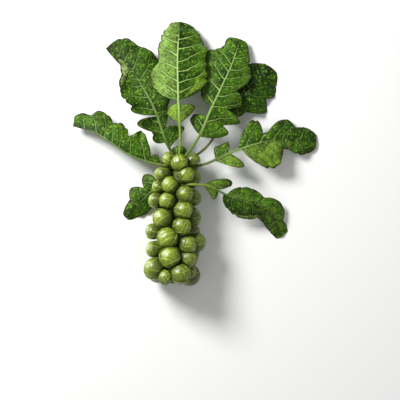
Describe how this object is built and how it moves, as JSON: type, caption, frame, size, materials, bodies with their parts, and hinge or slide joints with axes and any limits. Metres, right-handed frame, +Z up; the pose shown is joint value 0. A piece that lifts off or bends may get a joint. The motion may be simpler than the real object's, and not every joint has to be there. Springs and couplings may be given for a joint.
{
  "type": "brussels sprout stalk",
  "caption": "Cut stalk of brussels sprouts laid flat: thick leaning stem wound with tight round sprouts, leafy top bud and lobed veined leaves on long petioles.",
  "frame": {"origin": "under the middle of the part's box, on the surface it lies on", "axes": "+Y up the stalk towards the leaves, +Z up from the surface"},
  "size_m": [0.4408, 0.4766, 0.1027],
  "materials": {
    "stem": "pale green fibrous stem with leaf scars",
    "sprout": "waxy yellow-green wrapper leaves",
    "bud": "dark green crinkled young leaves",
    "leaf": "semi-matt green leaf with pale veins"
  },
  "bodies": {
    "root": {"stem": "stem", "top_bud": "bud", "leaf_top": "leaf", "leaf_upper_left": "leaf", "leaf_upper_right": "leaf", "leaf_back_right": "leaf", "leaf_right": "leaf", "leaf_lower_right": "leaf", "leaf_left": "leaf", "leaf_lower_left": "leaf", "sprout_01": "sprout", "sprout_02": "sprout", "sprout_03": "sprout", "sprout_04": "sprout", "sprout_05": "sprout", "sprout_06": "sprout", "sprout_07": "sprout", "sprout_08": "sprout", "sprout_09": "sprout", "sprout_10": "sprout", "sprout_11": "sprout", "sprout_12": "sprout", "sprout_13": "sprout", "sprout_14": "sprout", "sprout_15": "sprout", "sprout_16": "sprout", "sprout_17": "sprout", "sprout_18": "sprout", "sprout_19": "sprout", "sprout_20": "sprout", "sprout_21": "sprout", "sprout_22": "sprout", "sprout_23": "sprout", "sprout_24": "sprout", "sprout_25": "sprout", "sprout_26": "sprout", "sprout_27": "sprout", "sprout_28": "sprout", "sprout_29": "sprout", "sprout_30": "sprout", "sprout_31": "sprout", "sprout_32": "sprout", "sprout_33": "sprout", "sprout_34": "sprout", "sprout_35": "sprout", "sprout_36": "sprout", "sprout_37": "sprout", "sprout_38": "sprout", "sprout_39": "sprout", "sprout_40": "sprout", "sprout_41": "sprout", "sprout_42": "sprout", "sprout_43": "sprout", "sprout_44": "sprout", "sprout_45": "sprout", "sprout_46": "sprout", "sprout_47": "sprout", "sprout_48": "sprout"}
  },
  "joints": []
}
